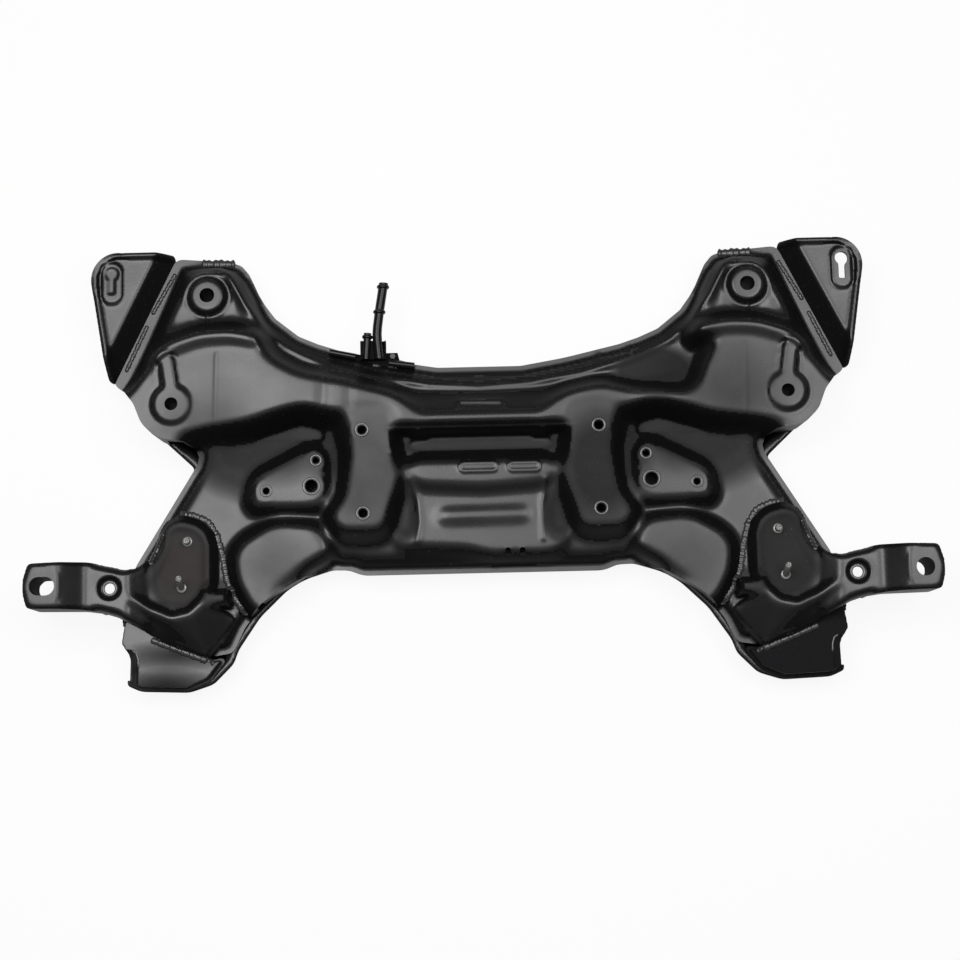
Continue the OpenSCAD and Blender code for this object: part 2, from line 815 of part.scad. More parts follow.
// Two short tubes lying on the bracket's wings
module flange_tubes() {
  color(coat) {
    translate([-157, 122.5, seam + t + tube_r])
      rotate([0, 90, -12])
        cylinder(r = tube_r, h = tube_length);
    translate([-95, 109.5, seam + t + tube_r])
      rotate([0, 90, -8])
        cylinder(r = tube_r, h = tube_length);
  }
}

module pipe_nut() {
  color(steel)
    translate([pipe_x + pipe_gap, pipe_y + 3.5, seam + t])
      cylinder(r = 3, h = 5, $fn = 6);
}

upper_panel();
lower_panel();
left() outrigger_upper(1);  // left_outrigger_upper
outrigger_upper(0);  // right_outrigger_upper
left() outrigger_lower(1);  // left_outrigger_lower
outrigger_lower(0);  // right_outrigger_lower
left() corner_bracket(false);  // left_corner_bracket
corner_bracket(true);  // right_corner_bracket
left() arm_pocket();  // left_arm_pocket
arm_pocket();  // right_arm_pocket
left() rear_collar();  // left_rear_collar
rear_collar();  // right_rear_collar
left() arm_sleeve();  // left_arm_sleeve
arm_sleeve();  // right_arm_sleeve
left() end_sleeve(1);  // left_end_sleeve
end_sleeve(0);  // right_end_sleeve
rack_nuts();
stabiliser_nuts();
left() studs();  // left_studs
studs();  // right_studs
long_pipe();
short_pipe();
pipe_bracket();
flange_tubes();
pipe_nut();
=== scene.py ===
import json
import math

import bmesh
import bpy
import numpy as np
from mathutils import Matrix, Vector
from mathutils.bvhtree import BVHTree

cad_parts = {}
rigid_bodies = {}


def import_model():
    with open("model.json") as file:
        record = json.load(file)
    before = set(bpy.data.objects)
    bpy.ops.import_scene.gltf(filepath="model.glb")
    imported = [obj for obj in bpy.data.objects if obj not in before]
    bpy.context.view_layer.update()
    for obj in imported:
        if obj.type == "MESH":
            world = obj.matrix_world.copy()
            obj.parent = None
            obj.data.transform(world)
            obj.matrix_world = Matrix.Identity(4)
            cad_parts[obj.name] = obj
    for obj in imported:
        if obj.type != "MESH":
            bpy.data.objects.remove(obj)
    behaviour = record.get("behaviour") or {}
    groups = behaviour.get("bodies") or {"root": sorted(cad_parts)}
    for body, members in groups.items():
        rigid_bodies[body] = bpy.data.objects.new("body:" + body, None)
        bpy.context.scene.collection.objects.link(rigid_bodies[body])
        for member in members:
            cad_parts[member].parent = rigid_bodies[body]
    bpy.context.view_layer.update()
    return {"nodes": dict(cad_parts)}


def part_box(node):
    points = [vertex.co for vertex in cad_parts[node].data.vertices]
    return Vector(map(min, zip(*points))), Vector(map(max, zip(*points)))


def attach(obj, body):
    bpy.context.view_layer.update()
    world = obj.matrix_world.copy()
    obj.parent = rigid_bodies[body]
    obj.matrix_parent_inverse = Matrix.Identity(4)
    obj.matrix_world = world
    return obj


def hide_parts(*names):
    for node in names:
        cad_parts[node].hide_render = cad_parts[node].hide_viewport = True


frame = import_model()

scene = bpy.context.scene
scene.view_settings.view_transform = "Standard"
nodes = frame["nodes"]
MM = 0.001


# The view. The frame lies flat and is seen from almost straight above, a little from
# its front edge, through a long lens on a tripod that stood a degree out of level.
VIEW_TARGET = Vector((-1.5, -20.5, 60)) * MM
VIEW_HEIGHT_ANGLE = math.radians(82)
VIEW_DISTANCE = 2000 * MM
VIEW_ROLL = math.radians(-1.3)
VIEW_SENSOR = 36
VIEW_LENS = 72.11

camera_data = bpy.data.cameras.new("camera")
camera_data.sensor_width = VIEW_SENSOR
camera_data.lens = VIEW_LENS
camera = bpy.data.objects.new("camera", camera_data)
back = Vector((0, -math.cos(VIEW_HEIGHT_ANGLE), math.sin(VIEW_HEIGHT_ANGLE)))
camera.matrix_world = (
    Matrix.Translation(VIEW_TARGET + back * VIEW_DISTANCE)
    @ Matrix.Rotation(math.pi / 2 - VIEW_HEIGHT_ANGLE, 4, "X")
    @ Matrix.Rotation(VIEW_ROLL, 4, "Z")
)
scene.collection.objects.link(camera)
scene.camera = camera


# The studio. A white table, a wide soft box overhead that the coat mirrors on its level
# faces, a brighter one on each side, and a dark room with a dim ceiling that the walls mirror.
TABLE_HALF = 4
TABLE_GLOW = 0.9
ROOM_TINT = (1, 0.99, 0.97, 1)
CEILING_FROM = 0.6
ROOM_DIM, CEILING_BRIGHT = 0.08, 0.6


def node_of(material, kind, **values):
    """A new shader node in the material, or in the world, with its properties set."""
    made = material.node_tree.nodes.new(kind)
    for key, value in values.items():
        setattr(made, key, value)
    return made


def ranged(material, value, low, high, to_low=0, to_high=1):
    """The value moved from the range low to high into the range to_low to to_high, and held in it."""
    made = node_of(material, "ShaderNodeMapRange")
    made.inputs["From Min"].default_value = low
    made.inputs["From Max"].default_value = high
    made.inputs["To Min"].default_value = to_low
    made.inputs["To Max"].default_value = to_high
    material.node_tree.links.new(value, made.inputs["Value"])
    return made.outputs["Result"]


def mesh_from(bm, name):
    """A mesh of what bm holds. Frees bm."""
    mesh = bpy.data.meshes.new(name)
    bm.to_mesh(mesh)
    bm.free()
    return mesh


table_paint = bpy.data.materials.new("table_paint")
table_paint.use_nodes = True
links = table_paint.node_tree.links
table_surface = table_paint.node_tree.nodes["Principled BSDF"]
table_surface.inputs["Base Color"].default_value = (0.82, 0.82, 0.82, 1)
table_surface.inputs["Roughness"].default_value = 0.9
table_glow = node_of(table_paint, "ShaderNodeEmission")
table_glow.inputs["Strength"].default_value = 1.0
rays = node_of(table_paint, "ShaderNodeLightPath")
camera_or_glossy = node_of(table_paint, "ShaderNodeMath", operation="MAXIMUM")
seen_rays = node_of(table_paint, "ShaderNodeMath", operation="MAXIMUM")
glow_share = node_of(table_paint, "ShaderNodeMath", operation="MULTIPLY")
glow_share.inputs[1].default_value = TABLE_GLOW
table_mix = node_of(table_paint, "ShaderNodeMixShader")
links.new(rays.outputs["Is Camera Ray"], camera_or_glossy.inputs[0])
links.new(rays.outputs["Is Glossy Ray"], camera_or_glossy.inputs[1])
links.new(camera_or_glossy.outputs[0], seen_rays.inputs[0])
links.new(rays.outputs["Is Transmission Ray"], seen_rays.inputs[1])
links.new(seen_rays.outputs[0], glow_share.inputs[0])
links.new(glow_share.outputs[0], table_mix.inputs[0])
links.new(table_surface.outputs[0], table_mix.inputs[1])
links.new(table_glow.outputs[0], table_mix.inputs[2])
links.new(table_mix.outputs[0], table_paint.node_tree.nodes["Material Output"].inputs[0])

bm = bmesh.new()
bmesh.ops.create_grid(bm, x_segments=1, y_segments=1, size=TABLE_HALF)
table_mesh = mesh_from(bm, "table")
table_mesh.materials.append(table_paint)
table = bpy.data.objects.new("table", table_mesh)
scene.collection.objects.link(table)

scene.world = bpy.data.worlds.new("room")
scene.world.use_nodes = True
room_light = scene.world.node_tree.nodes["Background"]
room_light.inputs["Color"].default_value = ROOM_TINT
skyward = node_of(scene.world, "ShaderNodeSeparateXYZ")
links = scene.world.node_tree.links
links.new(node_of(scene.world, "ShaderNodeTexCoord").outputs["Generated"], skyward.inputs[0])
ceiling = ranged(scene.world, skyward.outputs["Z"], CEILING_FROM, 1, ROOM_DIM, CEILING_BRIGHT)
links.new(ceiling, room_light.inputs["Strength"])


def soft_box(name, place, aim, width, depth, radiance):
    """An area lamp at a place, turned to its aim; its face shows the radiance at any size."""
    data = bpy.data.lights.new(name, "AREA")
    data.shape = "RECTANGLE"
    data.size = width
    data.size_y = depth
    data.energy = radiance * math.pi * width * depth
    lamp = bpy.data.objects.new(name, data)
    lamp.location = place
    lamp.rotation_euler = (Vector(aim) - Vector(place)).to_track_quat("-Z", "Y").to_euler()
    scene.collection.objects.link(lamp)


soft_box("overhead_box", (0, 0.25, 1.62), (0, 0.25, 0), 1.9, 1.02, 2.7)
soft_box("left_box", (-0.6, 0.25, 1.6), (-0.6, 0.25, 0), 0.8, 1.02, 3.5)
soft_box("right_box", (0.8, 0.25, 1.6), (0.8, 0.25, 0), 0.45, 1.02, 3.4)


# Black dip coat. Every welded piece goes through the same bath, so all the sheet shares
# one finish: a smooth half-gloss black with faint orange peel, handling marks and dust.
# Darker copies of this coat further on are painted shade, and a paler one is a painted highlight.
BLACK = (0.009, 0.009, 0.01)
DUST = (0.05, 0.048, 0.045)
# The brown tint below is a painted reflection of a brown thing nearby, mixed into a few ovals of the coat.
PAINTED_BROWN_REFLECTION = (0.016, 0.0095, 0.0065)
HAZE_BELOW, HAZE_ABOVE = 0.05, 0.09
PEEL_STRENGTH = 0.05
PEEL_HEIGHT = 1 * MM


def spot(material, where, x, y, wide, long, strength, blur=0.3, z=0, tall=1e6):
    """A soft oval round [x, y, z] in millimetres, 0 outside it and strength in its middle."""
    links = material.node_tree.links
    place = node_of(material, "ShaderNodeMapping")
    place.inputs["Location"].default_value = (-x / wide, -y / long, -z / tall)
    place.inputs["Scale"].default_value = (1 / (wide * MM), 1 / (long * MM), 1 / (tall * MM))
    ball = node_of(material, "ShaderNodeTexGradient", gradient_type="SPHERICAL")
    links.new(where, place.inputs["Vector"])
    links.new(place.outputs["Vector"], ball.inputs["Vector"])
    return ranged(material, ball.outputs["Fac"], 0, blur, 0, strength)


def noise(material, where, scale, detail, roughness=0.5):
    """Soft random blotches, scale to a metre."""
    made = node_of(material, "ShaderNodeTexNoise")
    made.inputs["Scale"].default_value = scale
    made.inputs["Detail"].default_value = detail
    made.inputs["Roughness"].default_value = roughness
    material.node_tree.links.new(where, made.inputs["Vector"])
    return made.outputs["Fac"]


def dip_coat(name, tint=BLACK, gloss=0.26, specular=0.5, metal=0, dull=(), painted_reflection=()):
    """The coat in one tint. gloss is the shader's roughness, so a higher one is duller.

    The ovals where it lies dull, and those where a brown reflection is painted into its colour, are given
    each as spot takes them: [x, y, half width, half length, strength] and, if need be, [blur, z, half
    height].
    """
    coat = bpy.data.materials.new(name)
    coat.use_nodes = True
    links = coat.node_tree.links
    surface = coat.node_tree.nodes["Principled BSDF"]
    surface.inputs["Specular IOR Level"].default_value = specular
    surface.inputs["Metallic"].default_value = metal
    where = node_of(coat, "ShaderNodeTexCoord").outputs["Object"]
    patches = noise(coat, where, 9, 6, 0.62)
    roughness = ranged(coat, patches, 0.35, 0.7, gloss - HAZE_BELOW, gloss + HAZE_ABOVE)
    for oval in dull:
        duller = node_of(coat, "ShaderNodeMath", operation="ADD", use_clamp=True)
        links.new(roughness, duller.inputs[0])
        links.new(spot(coat, where, *oval), duller.inputs[1])
        roughness = duller.outputs[0]
    links.new(roughness, surface.inputs["Roughness"])
    shade = node_of(coat, "ShaderNodeMix", data_type="RGBA")
    shade.inputs["A"].default_value = (*tint, 1)
    shade.inputs["B"].default_value = (*DUST, 1)
    links.new(ranged(coat, noise(coat, where, 420, 3), 0.66, 0.8), shade.inputs["Factor"])
    colour = shade.outputs["Result"]
    # Each of these ovals mixes in the painted brown reflection.
    for oval in painted_reflection:
        brown = node_of(coat, "ShaderNodeMix", data_type="RGBA")
        brown.inputs["B"].default_value = (*PAINTED_BROWN_REFLECTION, 1)
        links.new(spot(coat, where, *oval), brown.inputs["Factor"])
        links.new(colour, brown.inputs["A"])
        colour = brown.outputs["Result"]
    links.new(colour, surface.inputs["Base Color"])
    ripple = node_of(coat, "ShaderNodeBump")
    ripple.inputs["Strength"].default_value = PEEL_STRENGTH
    ripple.inputs["Distance"].default_value = PEEL_HEIGHT
    links.new(noise(coat, where, 260, 2), ripple.inputs["Height"])
    links.new(ripple.outputs["Normal"], surface.inputs["Normal"])
    return coat


black_coat = dip_coat("black_coat")
# Steep walls take a darker copy of the coat with little gloss: painted shade that keeps them black.
WALL_TILT = math.cos(math.radians(38))
shaded_wall_coat = dip_coat("shaded_wall_coat", (0.005, 0.005, 0.0055), 0.45, specular=0.1)


def finished(name, mesh, material, slot, *stands_for, shade_walls=False):
    """One piece in the scene: its mesh, finish, body and the solid that it stands for."""
    mesh.materials.clear()
    mesh.materials.append(material)
    # The steep faces take the shaded wall coat, painted shade.
    if shade_walls:
        mesh.materials.append(shaded_wall_coat)
    for polygon in mesh.polygons:
        polygon.use_smooth = True
        polygon.material_index = int(shade_walls and abs(polygon.normal.z) < WALL_TILT)
    piece = bpy.data.objects.new(name, mesh)
    scene.collection.objects.link(piece)
    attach(piece, "root")
    if stands_for:
        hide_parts(*stands_for)
    return piece


# Upper panel. One deep-drawn sheet of 2.5 mm steel. The press leaves wide soft radii where the
# walls meet the floors, and tighter ones round the small pads, beads and holes.
SHEET = 2.5 * MM
CLEAR = 100 * MM
CRISP_FADE = 4 * MM
FLANGE_NEAR = 0.5 * MM
FLANGE_BLUR, FLANGE_GAIN = 1.5, 1.6
ARC_NEAR, ARC_FAR, ARC_BELOW = 0.88, 1.05, -0.16
# Upright faces of the solid are its rims. The sheet's edge is drawn to the nearest one within a
# few cells, with heights counting a tenth, and is then eased along its line.
UPRIGHT = 0.2
HEIGHT_SHARE = 0.1
RIM_REACH = 2.5
EASING_PASSES = 3


def blurred(heights, known, spread):
    """Gaussian mean of the known heights, spread given in cells."""
    reach = int(3 * spread) + 1
    kernel = np.exp(-0.5 * (np.arange(-reach, reach + 1) / spread) ** 2)
    total = np.where(known, heights, 0.0)
    weight = known.astype(float)
    for axis in (0, 1):
        total = np.apply_along_axis(np.convolve, axis, total, kernel, "same")
        weight = np.apply_along_axis(np.convolve, axis, weight, kernel, "same")
    return total / np.maximum(weight, 1e-9)


def away_from(path, xs, ys):
    """How far the points lie from a path of [x, y] corners, in millimetres."""
    nearest = np.full(xs.shape, 1e9)
    for (ax, ay), (bx, by) in zip(path, path[1:]):
        dx, dy = bx - ax, by - ay
        share = np.clip(((xs - ax) * dx + (ys - ay) * dy) / (dx * dx + dy * dy), 0, 1)
        nearest = np.minimum(nearest, np.hypot(xs - ax - share * dx, ys - ay - share * dy))
    return nearest


def laid_sheet(node, cell, soft, crisp, crisp_places, marks=(), side=1, roll=0, corner=None):
    """One skin of a pressed node, seen from above (side 1) or below (side -1), with its cut edge.

    soft and crisp are the spreads of the radii in metres, crisp_places the discs
    [x, y, radius] in millimetres where the tight one holds. The flange is always crisp.
    marks are small beads and creases: [path, half width, rise], in millimetres.
    roll is how far the outer edge is turned down, in metres; holes keep their edges.
    corner is a wide outer corner, [x, y, radius] in millimetres, drawn as a true arc.
    """
    low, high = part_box(node)
    solid = nodes[node].data
    points = [v.co.copy() for v in solid.vertices]
    tree = BVHTree.FromPolygons(points, [tuple(p.vertices) for p in solid.polygons])
    squashed = [Vector((p.x, p.y, HEIGHT_SHARE * p.z)) for p in points]
    rim_faces = [p for p in solid.polygons if abs(p.normal.z) < UPRIGHT]
    rims = BVHTree.FromPolygons(squashed, [tuple(p.vertices) for p in rim_faces])
    columns = int((high.x - low.x) / cell) + 2
    rows = int((high.y - low.y) / cell) + 2
    bm = bmesh.new()
    bmesh.ops.create_grid(bm, x_segments=columns, y_segments=rows, size=0.5)
    bmesh.ops.scale(bm, vec=(columns * cell, rows * cell, 1), verts=bm.verts)
    bmesh.ops.translate(bm, vec=((low.x + high.x) / 2, (low.y + high.y) / 2, 0), verts=bm.verts)
    bm.verts.ensure_lookup_table()
    start = high.z + CLEAR if side > 0 else low.z - CLEAR
    hits = [tree.ray_cast((v.co.x, v.co.y, start), (0, 0, -side))[0] for v in bm.verts]
    known = np.array([h is not None for h in hits]).reshape(rows + 1, columns + 1)
    heights = np.array([0.0 if h is None else h.z for h in hits]).reshape(rows + 1, columns + 1)
    flange_z = low.z + SHEET if side > 0 else high.z - SHEET
    flange = known & (np.abs(heights - flange_z) < FLANGE_NEAR)
    tight = FLANGE_GAIN * blurred(flange.astype(float), known, FLANGE_BLUR)
    tight = np.clip(tight, 0, 1).ravel()
    xs = np.array([v.co.x for v in bm.verts])
    ys = np.array([v.co.y for v in bm.verts])
    filled = known.ravel().astype(float)
    for x, y, radius in crisp_places:
        away = np.hypot(xs - x * MM, ys - y * MM)
        tight = np.maximum(tight, np.clip((radius * MM - away) / CRISP_FADE + 0.5, 0, 1))
        filled[away < radius * MM] = 1
    relaxed = blurred(heights, known, soft / cell).ravel() * (1 - tight)
    relaxed += blurred(heights, known, crisp / cell).ravel() * tight
    for path, wide, rise in marks:
        relaxed += rise * MM * np.exp(-((away_from(path, xs / MM, ys / MM) / wide) ** 2))
    if roll:
        room = int(3 * roll / cell)
        inside = np.pad(filled.reshape(known.shape), room)
        inside = blurred(inside, np.ones(inside.shape, bool), roll / cell)[room:-room, room:-room]
        relaxed -= roll * np.clip(2 - 2 * inside.ravel(), 0, 1) ** 2
    for v, z in zip(bm.verts, relaxed):
        v.co.z = z
    bmesh.ops.delete(bm, geom=[v for v, h in zip(bm.verts, hits) if h is None], context="VERTS")
    bmesh.ops.delete(bm, geom=[v for v in bm.verts if not v.link_faces], context="VERTS")
    border = [v for v in bm.verts if v.is_boundary]
    outward = []
    for v in border:
        middle = sum((f.calc_center_median() for f in v.link_faces), Vector()) / len(v.link_faces)
        outward.append(Vector((v.co.x - middle.x, v.co.y - middle.y, 0)).normalized())
    feet = []
    for v, away in zip(border, outward):
        place = Vector((v.co.x, v.co.y, HEIGHT_SHARE * v.co.z))
        near = rims.find_nearest_range(place, RIM_REACH * cell)
        near = [n for n in near if rim_faces[n[2]].normal.dot(away) > UPRIGHT]
        end = v.co.z - side * SHEET
        if near:
            edge = min(near, key=lambda n: n[3])
            v.co.xy = edge[0].xy
            ends = [points[i].z for i in rim_faces[edge[2]].vertices]
            end = min(*ends, end) if side > 0 else max(*ends, end)
        feet.append(end)
    beside = [[e.other_vert(v) for e in v.link_edges if e.is_boundary] for v in border]
    for _ in range(EASING_PASSES):
        eased = [
            0.5 * v.co.xy + 0.25 * (pair[0].co.xy + pair[1].co.xy)
            if len(pair) == 2 else v.co.xy.copy()
            for v, pair in zip(border, beside)]
        for v, place in zip(border, eased):
            v.co.xy = place
    if corner:
        middle, radius = Vector(corner[:2]) * MM, corner[2] * MM
        for v in border:
            arm = v.co.xy - middle
            on_arc = ARC_NEAR * radius < arm.length < ARC_FAR * radius
            if on_arc and arm.y > ARC_BELOW * radius and arm.x * middle.x > 0:
                v.co.xy = middle + arm.normalized() * radius
    foot = {v.co.to_tuple(7): end for v, end in zip(border, feet)}
    cut = [e for e in bm.edges if e.is_boundary] if side > 0 else []
    for e in cut:
        e.smooth = False
    for v in bmesh.ops.extrude_edge_only(bm, edges=cut)["geom"]:
        if isinstance(v, bmesh.types.BMVert):
            v.co.z = foot[v.co.to_tuple(7)]
    bmesh.ops.recalc_face_normals(bm, faces=bm.faces)
    if sum(f.normal.z * f.calc_area() for f in bm.faces) * side < 0:
        bmesh.ops.reverse_faces(bm, faces=bm.faces)
    return mesh_from(bm, node)


SMALL_PRESSINGS = [
    (284, 181, 25), (320, 64, 27), (322, 80, 16), (323, 94, 14), (324, 108, 12),
    (123, 33, 12), (123, -54, 12), (177, -23, 14), (224, -27, 12), (172, 4, 12),
]
both_hands = [(way * x, y, r) for x, y, r in SMALL_PRESSINGS for way in (1, -1)]
channel = [(x, 20, 14) for x in range(-93, 94, 3)]


def oval_line(x, y, half_length, radius):
    """A closed oval round [x, y], lying along x, in millimetres."""
    turns = [math.radians(15 * k) for k in range(-6, 7)]
    right = [(x + half_length + radius * math.cos(a), y + radius * math.sin(a)) for a in turns]
    left = [(x - half_length - radius * math.cos(a), y - radius * math.sin(a)) for a in turns]
    return right + left + right[:1]


REAR_RIB = [
    (0, 81), (54, 84), (107, 93), (160, 107), (184, 117), (204, 128), (221, 143),
    (235, 160), (244, 171), (254, 189), (261, 204), (272, 213), (287, 216), (302, 213),
    (313, 203), (322, 180), (334, 154), (344, 133), (360, 102), (370, 82),
]
PANEL_MARKS = [
    ([(-x, y) for x, y in REAR_RIB[::-1]] + REAR_RIB[1:], 4.5, 3.4),
    ([(-250, 105), (-200, 72), (-140, 68)], 45, 2.5),
    (oval_line(-2.7, -7, 15, 4.5), 1.8, 1.2), (oval_line(44.8, -7.5, 12, 4.5), 1.8, 1.2),
    ([(-19, 64), (21, 63)], 5, 5.5),
    ([(-273, 116), (-275, 41)], 2.2, 0.5), ([(278, 116), (276, 40)], 2.2, 0.5),
    ([(-162, 90), (-164, 56)], 6, -1.2), ([(-135, 88), (-136, 60)], 5, -1.0),
    ([(-284, 160), (-284, 148)], 1.6, 1.2), ([(284, 160), (284, 148)], 1.6, 1.2),
    ([(127, 109), (127, 112)], 4, 1.0), ([(161, 115), (161, 118)], 4, 1.0),
    ([(-75, -19), (-67, -36), (-65, -62), (-67.5, -83)], 3.5, 1.3),
    ([(66, -22), (62, -48), (63, -82)], 3.5, 1.3),
]
PANEL_DULL = [
    (-3, 22, 160, 48, 0.4, 0.3, 41, 22), (-123, -10, 60, 90, 0.28, 0.6), (123, -10, 60, 90, 0.6, 0.6),
    (-215, 25, 110, 70, 0.45, 0.3, 45, 24), (215, 25, 110, 70, 0.45, 0.3, 45, 24),
    (-82, -60, 17, 30, 0.4), (78, -62, 17, 30, 0.4), (185, 92, 50, 34, 0.6),
    (262, 72, 80, 70, 0.26, 0.8), (-282, 45, 70, 50, 0.2, 1), (-216, -105, 60, 50, 0.16, 0.8),
    (216, -105, 60, 50, 0.16, 0.8),
]
panel_coat = dip_coat("panel_coat", dull=PANEL_DULL)
finished(
    "pressed_upper_panel",
    laid_sheet("upper_panel", 1.6 * MM, 5.2 * MM, 1.8 * MM, both_hands + channel, PANEL_MARKS),
    panel_coat, "coat", "upper_panel", shade_walls=True)


# Lower panel. The plainer half of the box: a shallow tray of the same sheet, turned up at
# its edge to the flange that carries the seam, with three stiffening beads on each side.
lower_panel = finished(
    "pressed_lower_panel", laid_sheet("lower_panel", 2.4 * MM, 2.5 * MM, 1.3 * MM, [], side=-1),
    black_coat, "coat", "lower_panel")
wall = lower_panel.modifiers.new("wall", "SOLIDIFY")
wall.thickness = SHEET
wall.offset = -1
wall.use_even_offset = False


# Outriggers. Each arm is an upper and a lower stamping, welded into a closed section that
# reaches out to the front body bolt. They are drawn deeper and with tighter radii.
MERGE = 1e-6


def formed(node, voxel, passes):
    """The node's own solid with its edges rolled over, as the press leaves them."""
    bm = bmesh.new()
    bm.from_mesh(nodes[node].data)
    bmesh.ops.remove_doubles(bm, verts=bm.verts, dist=MERGE)
    blank = bpy.data.objects.new("blank", mesh_from(bm, "blank"))
    scene.collection.objects.link(blank)
    grain = blank.modifiers.new("grain", "REMESH")
    grain.mode = "VOXEL"
    grain.voxel_size = voxel
    roll = blank.modifiers.new("roll", "SMOOTH")
    roll.factor = 0.5
    roll.iterations = passes
    formed_mesh = bpy.data.meshes.new_from_object(
        blank.evaluated_get(bpy.context.evaluated_depsgraph_get()))
    formed_mesh.name = node
    bpy.data.objects.remove(blank)
    return formed_mesh


arm_coat = dip_coat(
    "arm_coat",
    dull=[(-312, -104, 46, 62, 0.5, 0.35, 58, 16), (312, -104, 46, 62, 0.55, 0.35, 58, 16),
          (-272, -133, 26, 20, 0.4), (272, -133, 26, 20, 0.4)],
    # A painted brown reflection on the left stud plate.
    painted_reflection=[(-312, -106, 38, 54, 0.8, 0.8, 58, 16)])
# A near-black coat without gloss: painted shade for undersides, bores and the pipe saddle.
shaded_coat = dip_coat("shaded_coat", (0.006, 0.006, 0.0065), 0.6, specular=0.02)
SIDES = (("left", -1), ("right", 1))
ARM_BOLTS = [(449, -124, 21), (384, -126, 15)]
for side, way in SIDES:
    upper, lower = f"{side}_outrigger_upper", f"{side}_outrigger_lower"
    bolts = [(way * x, y, r) for x, y, r in ARM_BOLTS]
    arm = laid_sheet(upper, 1.2 * MM, 3.2 * MM, 1.2 * MM, bolts, roll=3.5 * MM)
    finished(f"stamped_{upper}", arm, arm_coat, "coat", upper, shade_walls=True)
    # The lower stamping takes the shaded coat, painted shade.
    finished(f"stamped_{lower}", formed(lower, 1.1 * MM, 6), shaded_coat, "coat", lower)


# Corner brackets. Triangular stampings of the same sheet with a turned-up rim, welded to the
# side strips of the upper panel.
for side, way in SIDES:
    solid = f"{side}_corner_bracket"
    bracket = laid_sheet(
        solid, 1.0 * MM, 2 * MM, 1.1 * MM, [(way * 388, 206, 27)], roll=3.5 * MM,
        corner=(way * 378.8, 203, 30))
    finished(f"stamped_{solid}", bracket, black_coat, "coat", solid, shade_walls=True)


# Control-arm pockets. Caps over the front control-arm bushes, pressed from thinner sheet and
# welded on under the front arms; the right one gets a darker, almost matt copy of the coat, painted shade.
pocket_coat = {
    "left": dip_coat(
        "left_pocket_coat",
        dull=[(-318, -194, 70, 18, 0.6, 1), (-330, -230, 60, 24, 0.7, 0.8)]),
    "right": dip_coat(
        "right_pocket_shaded_coat", specular=0.15, dull=[(320, -195, 140, 90, 0.65)]),
}
POCKET_NOTCH = [(359.5, -232), (359, -206), (359.5, -197), (361.5, -191), (366, -188), (378, -187)]
NOTCH_SLOPE = 1.5
NOTCH_DEPTH = 12 * MM
NOTCH_LIP = 0.8 * MM
NOTCH_LIP_HALF = 1.5
NOTCH_FOOT, NOTCH_FADE = 8, 10


def notched(mesh):
    """The cap with its outer end turned down behind an arc round the bush, and a low lip on the arc."""
    places = np.array([v.co for v in mesh.vertices])
    outward, along = np.abs(places[:, 0]) / MM, places[:, 1] / MM
    away = away_from(POCKET_NOTCH, outward, along)
    beyond = outward > np.interp(along, [y for _, y in POCKET_NOTCH], [x for x, _ in POCKET_NOTCH])
    shift = NOTCH_LIP * np.exp(-((away / NOTCH_LIP_HALF) ** 2))
    shift -= np.minimum(NOTCH_SLOPE * away * MM, NOTCH_DEPTH) * beyond
    above_foot = (places[:, 2] - places[:, 2].min()) / MM
    places[:, 2] += shift * np.clip((above_foot - NOTCH_FOOT) / NOTCH_FADE, 0, 1)
    mesh.vertices.foreach_set("co", places.ravel())
    mesh.update()
    return mesh


for side, _ in SIDES:
    solid = f"{side}_arm_pocket"
    cap = notched(formed(solid, 1.0 * MM, 5))
    finished(f"stamped_{solid}", cap, pocket_coat[side], "coat", solid, shade_walls=True)


# Crush sleeves and collars. Plain steel tubes welded in between the two skins to take the
# bolts; they take the shaded coat, painted shade that keeps their bores dark.
def recoated(material, *names):
    """Gives nodes that keep their own mesh another finish."""
    for name in names:
        nodes[name].data.materials.clear()
        nodes[name].data.materials.append(material)


for side, _ in SIDES:
    recoated(shaded_coat, f"{side}_rear_collar", f"{side}_arm_sleeve", f"{side}_end_sleeve")


# Weld nuts. Turned steel nuts, plated and then dipped with the frame, projection-welded
# under the rack pads and the stabiliser pads.
dark_zinc = dip_coat("dark_zinc", (0.03, 0.03, 0.031), 0.45)
recoated(dark_zinc, "rack_nuts", "stabiliser_nuts", "pipe_nut")


# Studs. Threaded weld studs with a hollow point, two on each outrigger, the long one leaning
# to the rear. They stand on a round weld foot.
STUD_RADIUS = 3.5 * MM
STUD_FOOT = 58 * MM
STUD_STEPS = 20
THREAD_PITCH = 1.25 * MM
THREAD_ROOT = 0.84 * STUD_RADIUS
POINT_DEPTH = 2 * MM
stud_plating = dip_coat("stud_plating", (0.26, 0.26, 0.25), 0.34, metal=0.4)


